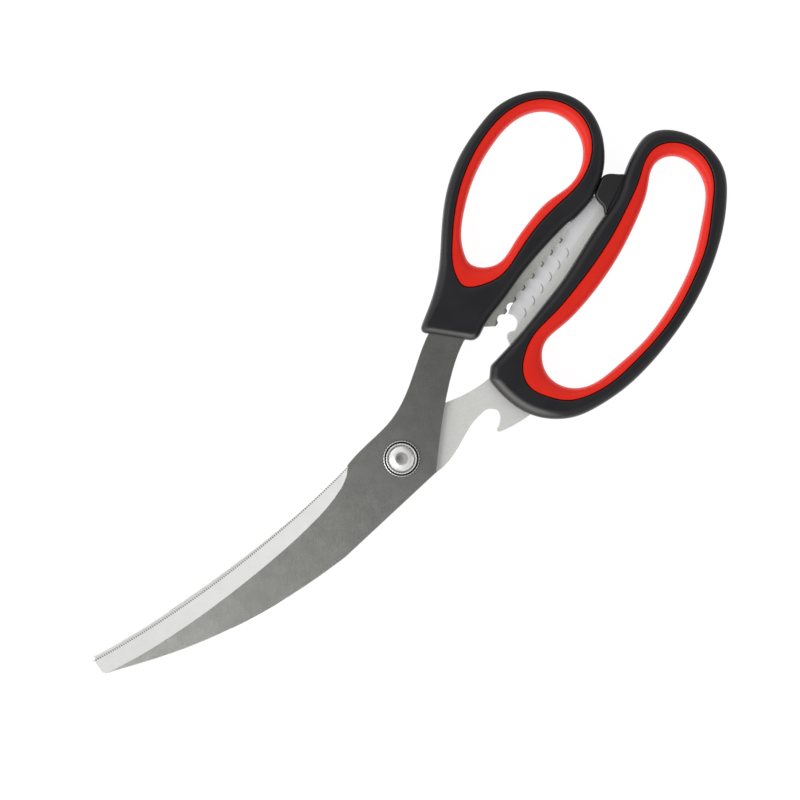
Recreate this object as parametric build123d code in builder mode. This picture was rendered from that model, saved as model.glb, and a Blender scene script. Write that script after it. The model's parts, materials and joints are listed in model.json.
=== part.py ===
from build123d import *
import os

# Poultry shears, closed and lying on their back, in millimetres.
# Origin: the pivot's axis at the resting plane. +X runs from the pivot to the handles,
# +Y is the thumb handle's side and +Z points up, away from the resting plane.
# Front half: upper blade and thumb handle. Rear half: lower blade and finger handle.

os.makedirs("parts", exist_ok=True)

# --- levels along Z ---
HANDLE_THICK = 11.0
BLADE_THICK = 2.5
BLADE_GAP = 0.1
MID_Z = HANDLE_THICK / 2
REAR_Z = MID_Z - BLADE_GAP / 2 - BLADE_THICK
FRONT_Z = MID_Z + BLADE_GAP / 2
FRONT_TOP = FRONT_Z + BLADE_THICK
LINER_SINK = 0.4

# --- pivot ---
JOURNAL_R = 3.0
RUNNING_FIT = 0.05
NECK_R = 3.6
NECK_FLATS = 6.1
KEY_FIT = 0.03
SCREW_HEAD_R = 6.2
SCREW_HEAD_THICK = 2.1
SCREW_HEAD_CHAMFER = 0.5
THREAD_R = 2.3
THREAD_CHAMFER = 0.35
SCREW_END_Z = 10.1
WASHER_BORE_R = 3.75
SPRING_WASHER_R = 5.9
SPRING_WASHER_THICK = 0.5
LOCK_WASHER_R = 5.85
LOCK_WASHER_THICK = 0.8
KNURL_TEETH = 36
KNURL_R = 0.3
NUT_FLANGE_R = 4.95
NUT_FLANGE_THICK = 0.5
NUT_DOME_R = 4.3
NUT_DOME_MID = (2.35, 10.565)
NUT_TOP_Z = 11.0
NUT_BORE_END_Z = 10.2

# --- blade grinding ---
SERRATION_PITCH = 0.75
SERRATION_DEPTH = 0.32
EDGE_LAND = 0.3
TAPER_START_X = -20
TIP_X = -116
TAPER_DEPTH = 0.8
GRIND_OVERRUN = 0.4
GRIND_STATIONS = 10
CUT_REACH = 40

# --- toothed plates between the handles ---
FRONT_TEETH = 8
FRONT_TOOTH_FIRST = Vector(49.55, 12.9)
FRONT_TOOTH_LAST = Vector(81.45, 19.7)
REAR_TEETH = 6
REAR_TOOTH_FIRST = Vector(61.6, 18.5)
REAR_TOOTH_LAST = Vector(84.1, 22.0)
FRONT_TOOTH_DEPTH = 1.2
TOOTH_WIDTH = 1.4
TOOTH_CORNER_R = 0.35
REAR_TOOTH_DEPTH = 0.7
NEAR = 0.05
FLUTE_R = 22.0
FLUTE_DEPTH = 0.08
FLUTE_RUN_FIRST = 7.1
FLUTE_RUN_LAST = 4.3
FLUTE_SHIFT = 0.4
EXTRA_FLUTES = 2
FROM_END = (Align.CENTER, Align.CENTER, Align.MIN)

# --- tang holes, which the handle mouldings fill ---
TANG_HOLE_R = 2.0
FRONT_TANG_HOLES = [(38, 21.4), (46, 20.6)]
REAR_TANG_HOLES = [(40.5, -3), (40.5, -9.5)]

# --- handles ---
RIM_CHAMFER = 1.0
LINER_CHAMFER = 1.2

# Cutting edge of the front blade, heel to tip, and the shoulder where its bevel starts.
FRONT_EDGE = [(-14.5, 9.1), (-30, 7.9), (-50, 7.4), (-70, 8.0), (-90, 9.8), (-114.1, 13.7)]
FRONT_SHOULDER = [(-14.2, 8.9), (-19.5, 5.5), (-30, 2.9), (-50, 1.7), (-70, 2.1), (-90, 3.7), (-112, 7.4)]
FRONT_TIP = [(-114.3, 9.8), (-113.8, 8.3), (-112, 7.3)]
FRONT_SPINE = [(-112, 7.3), (-105, 4.1), (-90, -1.9), (-70, -7.6), (-50, -11.0), (-33, -12.3)]
FRONT_SHANK_LOW = [(5.5, -10.3), (12, -4.0), (20, 3.2), (26, 8.0), (32, 12.2), (38.5, 15.6)]
FRONT_PLATE_HEEL = (45.2, 15.6)
FRONT_PLATE_END = [(83.6, 21.0), (90.5, 23.5), (96.4, 25.7)]
FRONT_TANG_TOP = [(97, 27.4), (88, 27.6), (78, 26.2), (70, 24.2), (62, 22.2), (53, 23.6), (44, 26.4),
                  (36, 26.2)]
FRONT_SHANK_TOP = [(30, 23.8), (20, 18.0), (12, 13.6), (5, 11.3), (-4, 10.45), (-13.6, 9.4)]

# Rear blade: its spine stands proud of the front blade's edge towards the tip.
REAR_SPINE = [(-113.5, 14.5), (-100, 11.9), (-80, 9.6), (-60, 8.2), (-30, 7.8), (0, 9.0), (12, 7.8),
              (22, 4.5)]
REAR_SHANK_TOP = [(22, 4.5), (30, 2.3), (37, 1.7), (43, 2.4), (48.2, 3.6)]
REAR_NOSE_STEP = (48.6, 5.4)
REAR_NOSE_TOOTH = [(49.3, 7.6), (50.7, 8.6), (52.4, 8.0)]
REAR_NOSE_BAY = [(52.4, 8.0), (55.3, 10.4), (54.5, 13.1)]
REAR_NOSE_TOP = [(54.5, 13.1), (56.6, 14.4), (59.0, 15.0)]
REAR_PLATE_TOP = [(88.6, 22.75), (93, 23.1), (99.2, 24.2)]
REAR_PLATE_END = [(98.95, 20.4), (98.4, 18.6), (97.4, 17.5)]
REAR_EDGE = [(-14.5, -10.9), (-33, -11.5), (-50, -10.1), (-70, -6.7), (-90, -1.0), (-111.4, 8.0)]
REAR_TIP = (-113.5, 9.9)
REAR_SHOULDER = [(-14.6, -10.6), (-21, -7.0), (-33, -5.8), (-50, -4.6), (-70, -1.3), (-90, 4.2),
                 (-111.4, 13.0)]
REAR_TANG_LOW = [(98, 15.6), (90, 11.4), (78, 7.9), (66, 5.6), (56, 4.4), (49, 1.6), (44.2, -3.5),
                 (43.2, -9), (42.4, -14)]
CAP_LIFTER_BACK = [(5.5, -10.35), (13, -9.6), (17, -8.3), (22, -6.4), (28, -5.4)]
CAP_LIFTER_BAY = [(28, -5.4), (31.4, -6.2), (32.5, -8.0), (31.6, -10.1), (29, -11.8)]
CAP_LIFTER_HOOK = [(29, -11.8), (28.3, -12.6), (29, -13.4)]
REAR_SHANK_LOW = [(29, -13.4), (34, -14.7), (39.5, -15.3)]

# Thumb handle: outside from the top of its nose round to the nose's lower corner.
THUMB_OUTER = [(30.5, 25.6), (30.6, 26.9), (32.0, 28.0), (40, 32.5), (47.5, 38.3), (55, 46.1), (65, 55.2),
               (75, 60.8), (85, 63.8), (94, 64.9), (103.4, 62.1), (110.5, 56.3), (114.4, 48.5),
               (114.0, 40.5), (110, 32.6), (104.2, 27.1), (97, 24.2), (85, 22.7), (75, 21.5),
               (65, 19.7), (55, 17.2), (45.5, 14.7), (42.6, 13.6), (40.4, 14.2)]
THUMB_SEAM = [(49.0, 30.2), (50.4, 35.0), (55, 41.2), (65, 50.7), (75, 56.9), (85, 60.5), (94, 61.6),
              (103.3, 59.1), (109.2, 53.2), (111.4, 46.5), (110, 39.5), (104.6, 33.2), (96.5, 29.8),
              (88, 29.2), (80, 28.4), (70, 25.9), (61, 23.7), (54, 25.2)]
THUMB_HOLE = [(55.5, 34.4), (57.5, 39.2), (65, 46.9), (75, 53.2), (85, 56.8), (94, 58.0), (101.6, 55.8),
              (106.3, 50.8), (107.7, 45.2), (106.2, 38.9), (101.5, 33.8), (95, 31.6), (87, 32.1),
              (78, 31.0), (70, 28.9), (63, 27.2), (58.2, 29.0)]

# Finger handle: outside from the top of its nose round to the nose's flank.
FINGER_OUTER = [(39.9, 4.3), (46, 5.0), (55, 6.3), (65, 8.3), (75, 10.5), (85, 13.7), (97, 17.3), (104, 19.4),
                (110, 23.2), (118.5, 27.2), (123, 28.1), (127.5, 26.7), (131.5, 22.9), (134.4, 17.8),
                (135.8, 10), (134.6, 3.8), (130, -2.8), (125, -7.7), (115, -14.9), (105, -20.1),
                (95, -23.7), (85, -26.1), (75, -27.6), (67, -27.9), (58, -27.0), (50, -24.8),
                (44.2, -20.9), (40.1, -15.9), (37.7, -10), (36.7, -3), (36.8, 1.2)]
FINGER_SEAM = [(44.8, -8.2), (46, -3.8), (50, 0.2), (56, 3.1), (65, 4.2), (75, 5.8), (85, 8.1), (95, 11.2),
               (105, 15.4), (113, 19.5), (118, 22.6), (123, 23.4), (128.2, 20.9), (131.5, 15.8),
               (132.2, 10), (130.4, 4.5), (125, -1.6), (115, -10.4), (105, -15.9), (95, -20.0),
               (85, -22.4), (75, -23.6), (67, -24.0), (57.5, -22.5), (51, -19.2), (46.8, -13.8)]
FINGER_HOLE = [(51.7, -10), (53.3, -4.8), (57, -1.3), (65, -0.5), (75, 0.4), (85, 2.6), (95, 5.9),
               (105, 10.4), (113, 15.3), (118.5, 19.3), (123, 19.3), (127, 16.0), (128.5, 10),
               (126.8, 3.8), (120, -3.1), (110, -10.6), (100, -15.5), (90, -18.8), (80, -20.7),
               (70, -21.1), (60, -20.3), (54.5, -16.9)]

# Stop buffer: a soft block between the handles, keyed into the finger handle by its foot.
BUFFER_TOP = [(100.1, 24.55), (102.5, 25.55), (104.9, 26.85), (106.6, 26.4), (108.4, 24.6), (110.6, 23.5)]
BUFFER_LOW = [(110.6, 23.5), (108, 21.9), (104, 19.4), (98.9, 17.85)]
BUFFER_LEFT = [(98.9, 17.85), (99.7, 19.6), (99.5, 22.4), (100.1, 24.55)]
BUFFER_Z = (1.8, 9.2)
FOOT_CENTRE = (104.6, 19.0, 0)
FOOT_SIZE = (5.0, 2.6)
FOOT_ANGLE = 24
FOOT_STEP = 1.0


def serrated(curve, pitch, depth):
    """Zigzag along a curve: tips on the curve, roots a depth to its left."""
    steps = 2 * round(curve.length / pitch)
    points = []
    for step in range(steps + 1):
        tangent = curve % (step / steps)
        inward = Vector(-tangent.Y, tangent.X) * depth if step % 2 else Vector()
        points.append(curve @ (step / steps) + inward)
    return points


def tooth_tips(first, last, count):
    """Evenly spaced tips from the first to the last."""
    return [first + (last - first) * (i / (count - 1)) for i in range(count)]


def tooth_corners(tips):
    """The two corners of each blunt tooth, in order along their row."""
    half = (tips[-1] - tips[0]).normalized() * (TOOTH_WIDTH / 2)
    return [corner for tip in tips for corner in (tip - half, tip + half)]


def is_corner(vertex, corners):
    """Whether a vertex lies on one of the corners."""
    return min((Vector(vertex.X, vertex.Y) - corner).length for corner in corners) < NEAR


def blunt_teeth(corners, depth):
    """The teeth's flat ends and the round valleys between them, drawn in the current BuildLine."""
    for near, far in zip(corners[::2], corners[1::2]):
        Line(near, far)
    for near, far in zip(corners[1::2], corners[2::2]):
        along = (far - near).normalized()
        valley = (near + far) * 0.5 + Vector(-along.Y, along.X) * depth
        ThreePointArc(near, valley, far)


def flute_ends(tips, into_plate, axis_z):
    """Planes at the inner ends of the flutes between the tips, each looking out along its flute."""
    planes = []
    for i, (near, far) in enumerate(zip(tips, tips[1:])):
        run = FLUTE_RUN_FIRST + (FLUTE_RUN_LAST - FLUTE_RUN_FIRST) * i / (len(tips) - 2)
        inward = Vector(-(far - near).Y, (far - near).X).normalized() * into_plate
        end = (near + far) * 0.5 + inward * run + Vector(0, 0, axis_z)
        planes.append(Plane(origin=end, z_dir=inward * -1))
    return planes


def outer_z(x, flat, outward):
    """Height of a blade's outer face, which thins evenly from the heel to the tip."""
    share = max(0, (TAPER_START_X - x) / (TAPER_START_X - TIP_X))
    return flat - outward * share * TAPER_DEPTH


def bevel_surface(shoulder, edge, flat, land, outward):
    """Ruled face from a bevel's shoulder to its cutting edge, run on past both and past the tip."""
    top = Spline(*shoulder)
    low = Spline(*edge)
    inner = []
    outer = []
    for i in range(GRIND_STATIONS + 1):
        a = top @ (i / GRIND_STATIONS)
        b = low @ (i / GRIND_STATIONS)
        a = Vector(a.X, a.Y, outer_z(a.X, flat, outward))
        b = Vector(b.X, b.Y, land)
        inner.append(a + (a - b) * GRIND_OVERRUN)
        outer.append(b + (b - a) * GRIND_OVERRUN)
    inner.append(inner[-1] * 2 - inner[-2])
    outer.append(outer[-1] * 2 - outer[-2])
    return Face.make_surface_from_curves(Edge.make_spline(inner), Edge.make_spline(outer))


def taper_profile(flat, outward):
    """Wedge in the XZ plane between a blade's flat outer face and its tapered one."""
    return [(TAPER_START_X, flat), (TIP_X, flat - outward * TAPER_DEPTH),
            (TIP_X, flat + outward), (TAPER_START_X, flat + outward)]


# --- front blade: blade, shank and toothed tang in one stamping ---
front_tips = tooth_tips(FRONT_TOOTH_FIRST, FRONT_TOOTH_LAST, FRONT_TEETH)
front_corners = tooth_corners(front_tips)
front_bevel = bevel_surface(FRONT_SHOULDER, FRONT_EDGE, FRONT_TOP, FRONT_Z + EDGE_LAND, 1)
with BuildPart() as front_blade:
    with BuildSketch(Plane.XY.offset(FRONT_Z)):
        with BuildLine():
            Polyline(*serrated(Spline(*FRONT_EDGE, mode=Mode.PRIVATE), SERRATION_PITCH, SERRATION_DEPTH))
            Line(FRONT_EDGE[-1], FRONT_TIP[0])
            Spline(*FRONT_TIP)
            Spline(*FRONT_SPINE)
            Line(FRONT_SPINE[-1], FRONT_SHANK_LOW[0])
            Spline(*FRONT_SHANK_LOW)
            Polyline(FRONT_SHANK_LOW[-1], FRONT_PLATE_HEEL, front_corners[0])
            blunt_teeth(front_corners, FRONT_TOOTH_DEPTH)
            Spline(front_corners[-1], *FRONT_PLATE_END)
            Line(FRONT_PLATE_END[-1], FRONT_TANG_TOP[0])
            Spline(*FRONT_TANG_TOP)
            Line(FRONT_TANG_TOP[-1], FRONT_SHANK_TOP[0])
            Spline(*FRONT_SHANK_TOP)
            Line(FRONT_SHANK_TOP[-1], FRONT_EDGE[0])
        make_face()
        fillet([v for v in vertices() if is_corner(v, front_corners[:-1])], TOOTH_CORNER_R)
        Circle(JOURNAL_R + RUNNING_FIT, mode=Mode.SUBTRACT)
        with Locations(*FRONT_TANG_HOLES):
            Circle(TANG_HOLE_R, mode=Mode.SUBTRACT)
    extrude(amount=BLADE_THICK)
    with BuildSketch(Plane.XZ):
        Polygon(*taper_profile(FRONT_TOP, 1), align=None)
    extrude(amount=CUT_REACH, both=True, mode=Mode.SUBTRACT)
    extrude(front_bevel, amount=2 * BLADE_THICK, dir=(0, 0, 1), mode=Mode.SUBTRACT)
    with Locations(*flute_ends(front_tips, 1, FRONT_Z + FLUTE_DEPTH - FLUTE_R)):
        Cylinder(FLUTE_R, 2 * FLUTE_RUN_FIRST, align=FROM_END, mode=Mode.SUBTRACT)
        Sphere(FLUTE_R, mode=Mode.SUBTRACT)
front_blade.part.label = "front_blade"
export_step(front_blade.part, "parts/front_blade.step")

# --- rear blade: blade, shank with the cap lifter, and toothed tang in one stamping ---
rear_tips = tooth_tips(REAR_TOOTH_FIRST, REAR_TOOTH_LAST, REAR_TEETH)
rear_corners = tooth_corners(rear_tips)
rear_pitch = rear_tips[1] - rear_tips[0]
flute_tips = [rear_tips[0] + rear_pitch * (i + FLUTE_SHIFT) for i in range(-EXTRA_FLUTES, REAR_TEETH - 1)]
rear_bevel = bevel_surface(REAR_SHOULDER, REAR_EDGE, REAR_Z, REAR_Z + BLADE_THICK - EDGE_LAND, -1)
with BuildPart() as rear_blade:
    with BuildSketch(Plane.XY.offset(REAR_Z)):
        with BuildLine():
            Spline(*REAR_SPINE)
            Spline(*REAR_SHANK_TOP)
            Polyline(REAR_SHANK_TOP[-1], REAR_NOSE_STEP, REAR_NOSE_TOOTH[0])
            ThreePointArc(*REAR_NOSE_TOOTH)
            ThreePointArc(*REAR_NOSE_BAY)
            Spline(*REAR_NOSE_TOP)
            Line(REAR_NOSE_TOP[-1], rear_corners[0])
            blunt_teeth(rear_corners, -REAR_TOOTH_DEPTH)
            Polyline(rear_corners[-1], *REAR_PLATE_TOP, REAR_PLATE_END[0])
            Spline(*REAR_PLATE_END)
            Line(REAR_PLATE_END[-1], REAR_TANG_LOW[0])
            Spline(*REAR_TANG_LOW)
            Line(REAR_TANG_LOW[-1], REAR_SHANK_LOW[-1])
            Spline(*reversed(REAR_SHANK_LOW))
            Spline(*reversed(CAP_LIFTER_HOOK))
            Spline(*reversed(CAP_LIFTER_BAY))
            Spline(*reversed(CAP_LIFTER_BACK))
            Line(CAP_LIFTER_BACK[0], REAR_EDGE[0])
            Spline(*REAR_EDGE)
            Polyline(REAR_EDGE[-1], REAR_TIP, REAR_SPINE[0])
        make_face()
        Circle(NECK_R + KEY_FIT, mode=Mode.SUBTRACT)
        with Locations(*REAR_TANG_HOLES):
            Circle(TANG_HOLE_R, mode=Mode.SUBTRACT)
    extrude(amount=BLADE_THICK)
    with BuildSketch(Plane.XY.offset(REAR_Z)):
        Circle(NECK_R + KEY_FIT)
        Rectangle(3 * NECK_R, NECK_FLATS + 2 * KEY_FIT, mode=Mode.SUBTRACT)
    extrude(amount=BLADE_THICK)
    with BuildSketch(Plane.XZ):
        Polygon(*taper_profile(REAR_Z, -1), align=None)
    extrude(amount=CUT_REACH, both=True, mode=Mode.SUBTRACT)
    extrude(rear_bevel, amount=2 * BLADE_THICK, dir=(0, 0, -1), mode=Mode.SUBTRACT)
    with Locations(*flute_ends(flute_tips, -1, REAR_Z + BLADE_THICK - FLUTE_DEPTH + FLUTE_R)):
        Cylinder(FLUTE_R, 2 * FLUTE_RUN_FIRST, align=FROM_END, mode=Mode.SUBTRACT)
        Sphere(FLUTE_R, mode=Mode.SUBTRACT)
rear_blade.part.label = "rear_blade"
export_step(rear_blade.part, "parts/rear_blade.step")

# --- thumb handle: moulded round the front tang ---
with BuildPart() as thumb_handle:
    with BuildSketch():
        with BuildLine():
            Spline(*THUMB_OUTER)
            Line(THUMB_OUTER[-1], THUMB_OUTER[0])
        make_face()
        with BuildLine():
            Spline(*THUMB_SEAM, periodic=True)
        make_face(mode=Mode.SUBTRACT)
    extrude(amount=HANDLE_THICK)
    rims = [faces().sort_by(Axis.Z)[end].outer_wire().edges() for end in (0, -1)]
    chamfer(rims[0] + rims[1], length=RIM_CHAMFER)
    add(front_blade.part, mode=Mode.SUBTRACT)
thumb_handle.part.label = "thumb_handle"
export_step(thumb_handle.part, "parts/thumb_handle.step")


# --- finger handle: moulded round the rear tang ---
with BuildPart() as finger_handle:
    with BuildSketch():
        with BuildLine():
            Spline(*FINGER_OUTER)
            Line(FINGER_OUTER[-1], FINGER_OUTER[0])
        make_face()
        with BuildLine():
            Spline(*FINGER_SEAM, periodic=True)
        make_face(mode=Mode.SUBTRACT)
    extrude(amount=HANDLE_THICK)
    rims = [faces().sort_by(Axis.Z)[end].outer_wire().edges() for end in (0, -1)]
    chamfer(rims[0] + rims[1], length=RIM_CHAMFER)
    add(rear_blade.part, mode=Mode.SUBTRACT)
    with BuildSketch(Plane.XY.offset(BUFFER_Z[0] + FOOT_STEP)):
        with Locations(Location(FOOT_CENTRE, FOOT_ANGLE)):
            Rectangle(*FOOT_SIZE)
    extrude(amount=BUFFER_Z[1] - BUFFER_Z[0] - 2 * FOOT_STEP, mode=Mode.SUBTRACT)

# --- stop buffer: body on the finger handle's flank, foot in its socket ---
with BuildPart() as stop_buffer:
    with BuildSketch(Plane.XY.offset(BUFFER_Z[0])):
        with BuildLine():
            Spline(*BUFFER_TOP)
            Spline(*BUFFER_LOW)
            Spline(*BUFFER_LEFT)
        make_face()
    extrude(amount=BUFFER_Z[1] - BUFFER_Z[0])
    add(finger_handle.part, mode=Mode.SUBTRACT)
    with BuildSketch(Plane.XY.offset(BUFFER_Z[0] + FOOT_STEP)):
        with Locations(Location(FOOT_CENTRE, FOOT_ANGLE)):
            Rectangle(*FOOT_SIZE)
    extrude(amount=BUFFER_Z[1] - BUFFER_Z[0] - 2 * FOOT_STEP)
stop_buffer.part.label = "stop_buffer"
export_step(stop_buffer.part, "parts/stop_buffer.step")
finger_handle.part.label = "finger_handle"
export_step(finger_handle.part, "parts/finger_handle.step")

# --- soft liners bonded inside the two loops ---
with BuildPart() as thumb_liner:
    with BuildSketch(Plane.XY.offset(LINER_SINK)):
        with BuildLine():
            Spline(*THUMB_SEAM, periodic=True)
        make_face()
        with BuildLine():
            Spline(*THUMB_HOLE, periodic=True)
        make_face(mode=Mode.SUBTRACT)
    extrude(amount=HANDLE_THICK - 2 * LINER_SINK)
    rims = [faces().sort_by(Axis.Z)[end].inner_wires().edges() for end in (0, -1)]
    chamfer(rims[0] + rims[1], length=LINER_CHAMFER)
thumb_liner.part.label = "thumb_liner"
export_step(thumb_liner.part, "parts/thumb_liner.step")

with BuildPart() as finger_liner:
    with BuildSketch(Plane.XY.offset(LINER_SINK)):
        with BuildLine():
            Spline(*FINGER_SEAM, periodic=True)
        make_face()
        with BuildLine():
            Spline(*FINGER_HOLE, periodic=True)
        make_face(mode=Mode.SUBTRACT)
    extrude(amount=HANDLE_THICK - 2 * LINER_SINK)
    rims = [faces().sort_by(Axis.Z)[end].inner_wires().edges() for end in (0, -1)]
    chamfer(rims[0] + rims[1], length=LINER_CHAMFER)
finger_liner.part.label = "finger_liner"
export_step(finger_liner.part, "parts/finger_liner.step")

# --- pivot screw: plain head at the back, keyed neck, journal and threaded end ---
with BuildPart() as pivot_screw:
    with BuildSketch():
        Circle(SCREW_HEAD_R)
    extrude(amount=SCREW_HEAD_THICK)
    chamfer(faces().sort_by(Axis.Z)[0].edges(), length=SCREW_HEAD_CHAMFER)
    with BuildSketch(Plane.XY.offset(SCREW_HEAD_THICK)):
        Circle(NECK_R)
        Rectangle(3 * NECK_R, NECK_FLATS, mode=Mode.INTERSECT)
    extrude(amount=MID_Z - BLADE_GAP / 2 - SCREW_HEAD_THICK)
    with BuildSketch(Plane.XY.offset(MID_Z - BLADE_GAP / 2)):
        Circle(JOURNAL_R)
    extrude(amount=BLADE_GAP + BLADE_THICK + RUNNING_FIT)
    with BuildSketch(Plane.XY.offset(FRONT_TOP + RUNNING_FIT)):
        Circle(THREAD_R)
    extrude(amount=SCREW_END_Z - FRONT_TOP - RUNNING_FIT)
    chamfer(faces().sort_by(Axis.Z)[-1].edges(), length=THREAD_CHAMFER)
pivot_screw.part.label = "pivot_screw"
export_step(pivot_screw.part, "parts/pivot_screw.step")

# --- spring washer: a coned disc between the screw's head and the rear blade ---
with BuildPart() as spring_washer:
    with BuildSketch(Plane.XZ):
        with BuildLine():
            Polyline((SPRING_WASHER_R, SCREW_HEAD_THICK), (WASHER_BORE_R, REAR_Z - SPRING_WASHER_THICK),
                     (WASHER_BORE_R, REAR_Z), (SPRING_WASHER_R, SCREW_HEAD_THICK + SPRING_WASHER_THICK),
                     close=True)
        make_face()
    revolve(axis=Axis.Z)
spring_washer.part.label = "spring_washer"
export_step(spring_washer.part, "parts/spring_washer.step")

# --- lock washer: knurled disc on the journal's shoulder, over the front blade ---
LOCK_Z = FRONT_TOP + RUNNING_FIT
with BuildPart() as lock_washer:
    with BuildSketch(Plane.XY.offset(LOCK_Z)):
        Circle(LOCK_WASHER_R)
        with PolarLocations(LOCK_WASHER_R, KNURL_TEETH):
            Circle(KNURL_R, mode=Mode.SUBTRACT)
        Circle(THREAD_R, mode=Mode.SUBTRACT)
    extrude(amount=LOCK_WASHER_THICK)
lock_washer.part.label = "lock_washer"
export_step(lock_washer.part, "parts/lock_washer.step")

# --- pivot nut: knurled flange under a closed dome that covers the screw's end ---
NUT_Z = LOCK_Z + LOCK_WASHER_THICK
with BuildPart() as pivot_nut:
    with BuildSketch(Plane.XZ):
        with BuildLine():
            Polyline((0, NUT_TOP_Z), (0, NUT_BORE_END_Z), (THREAD_R, NUT_BORE_END_Z), (THREAD_R, NUT_Z),
                     (NUT_DOME_R, NUT_Z), (NUT_DOME_R, NUT_Z + NUT_FLANGE_THICK))
            ThreePointArc((NUT_DOME_R, NUT_Z + NUT_FLANGE_THICK), NUT_DOME_MID, (0, NUT_TOP_Z))
        make_face()
    revolve(axis=Axis.Z)
    with BuildSketch(Plane.XY.offset(NUT_Z)):
        Circle(NUT_FLANGE_R)
        with PolarLocations(NUT_FLANGE_R, KNURL_TEETH):
            Circle(KNURL_R, mode=Mode.SUBTRACT)
        Circle(NUT_DOME_R, mode=Mode.SUBTRACT)
    extrude(amount=NUT_FLANGE_THICK)
pivot_nut.part.label = "pivot_nut"
export_step(pivot_nut.part, "parts/pivot_nut.step")
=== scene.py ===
import json
import math

import bmesh
import bpy
import numpy as np
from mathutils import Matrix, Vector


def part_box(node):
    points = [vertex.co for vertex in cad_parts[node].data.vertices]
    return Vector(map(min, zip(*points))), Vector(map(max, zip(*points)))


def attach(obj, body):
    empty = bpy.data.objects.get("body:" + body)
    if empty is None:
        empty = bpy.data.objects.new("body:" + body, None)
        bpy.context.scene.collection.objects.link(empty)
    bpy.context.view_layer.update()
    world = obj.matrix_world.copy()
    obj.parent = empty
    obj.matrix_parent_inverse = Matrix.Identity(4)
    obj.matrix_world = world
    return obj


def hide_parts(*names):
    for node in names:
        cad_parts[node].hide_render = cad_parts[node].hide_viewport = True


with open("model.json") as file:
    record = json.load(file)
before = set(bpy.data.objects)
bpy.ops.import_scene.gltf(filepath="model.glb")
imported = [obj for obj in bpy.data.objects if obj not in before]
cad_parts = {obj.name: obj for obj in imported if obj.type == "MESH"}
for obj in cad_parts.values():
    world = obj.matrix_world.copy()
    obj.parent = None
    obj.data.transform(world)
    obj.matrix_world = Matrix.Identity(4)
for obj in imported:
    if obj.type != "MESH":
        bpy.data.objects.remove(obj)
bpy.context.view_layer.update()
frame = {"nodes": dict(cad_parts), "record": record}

# Lengths below are in millimetres; meshes are written in metres.
MM = 0.001
AROUND = 480
WELD = 0.001
LOOP_SOFTNESS = 0.3
PARTNER_BLUR = 14
MOULDED_SHARP = 32

# --- view and stage ---
VIEW_TURN = math.radians(-40)
VIEW_WIDTH = 0.2495
VIEW_CENTRE = (0.0114, 0.0143)
CAMERA_HEIGHT = 1.2
SENSOR = 36.0
FLOOR_SIZE = 6.0
FLOOR_DROP = 0.0004
FLOOR_GLOW = 0.95
FLOOR_TONES = ((0.12, 0.12, 0.12), (0.13, 0.13, 0.13))
KEY_PLACE = (-0.95, 0.25, 0.85)
KEY_SIZE = 1.4
KEY_POWER = 6.0
LIGHT_TARGET = (0.0, 0.01, 0.0)
SKY_TOWARD = (-0.62, 0.35, 0.70)
SKY_SIDE = (-0.5, 0.9)
SKY_OVERHEAD = (0.80, 0.985)
SKY_FAR = 0.55
SKY_NEAR = 0.95
SKY_ZENITH = 0.26

# --- handles ---
HANDLE_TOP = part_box("thumb_handle")[1].z / MM
MID_Z = HANDLE_TOP / 2
SECTION_Z = 0.85 * HANDLE_TOP
WALL_SOFTNESS = 0.45
RIM_R = 2.6
RIM_SHARE = 0.62
RIM_STEPS = 10
DRAFT = 0.12
DRAFT_STATIONS = (0.45, 0.75)
PARTING_LINE = 0.07
PARTING_HALF = 0.22
NOSE_FACING = (0.72, 0.96)
NOSE_FADE = 3
NOSE_BLUR = 1.2
NOSE_RUN = (0, 0.02, 0.06, 0.15, 0.35, 0.6, 0.82, 0.93, 1.0, 1.07, 1.18)
NOSE_FALL = (1.14, 1.06, 0.98, 0.87, 0.66, 0.41, 0.19, 0.085, 0.03, 0.005, 0)
# How strongly each rim step of the sloped nose face is lightened: a painted highlight.
NOSE_HIGHLIGHT = (0, 0.03, 0.08, 0.18, 0.5, 1, 0.6, 0.15, 0, 0, 0)
GROOVE_DEPTH = 0.38
GROOVE_WIDTH = 0.38
LAND_SHARES = (0.25, 0.5, 0.75, 1.0)
LAND_FALL = 0.05
GROOVE_STEPS = ((0.45, 0.10), (0.75, 0.26), (0.95, 0.45), (1.0, GROOVE_DEPTH))
SEAM_FOOT = 0.4
HANDLE_LIP = 0.6
LIP_FROM_X = 86
LIP_TO_X = 101
LIP_FADE = 4
LIP_FACING = (0.5, 0.8)

# --- liners ---
LINER_SIDE = ((0, 0.5), (0, 0.86), (0.05, 0.93))
LINER_START = 0.22
LINER_GAP = 0.06
LINER_SQUARENESS = 2.7
LINER_STEPS = 14
LINER_KEY = 0.4

# --- stop buffer ---
BUFFER_ROUND = 0.7
BUFFER_STEPS = 5
BUFFER_CUT = 0.5
BUFFER_FACING = (0.5, 0.9)
BUFFER_BLUR = 3
# Which way the rounded edge faces where the buffer gets its painted highlight.
BUFFER_HIGHLIGHT_FACING = (0.2, 0.7)
BUFFER_SINK_REACH = 0.6
BUFFER_REACH = (0.6, 1.0)
BUFFER_INLAND = (0.45, -0.89)
BUFFER_TO_PLATE = (-1.1, -0.3)
BUFFER_TIP = (98.5, 17.8)
BUFFER_TIP_REACH = 0.8
BUFFER_TIP_PUSH = (-1.05, -0.3)

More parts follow.
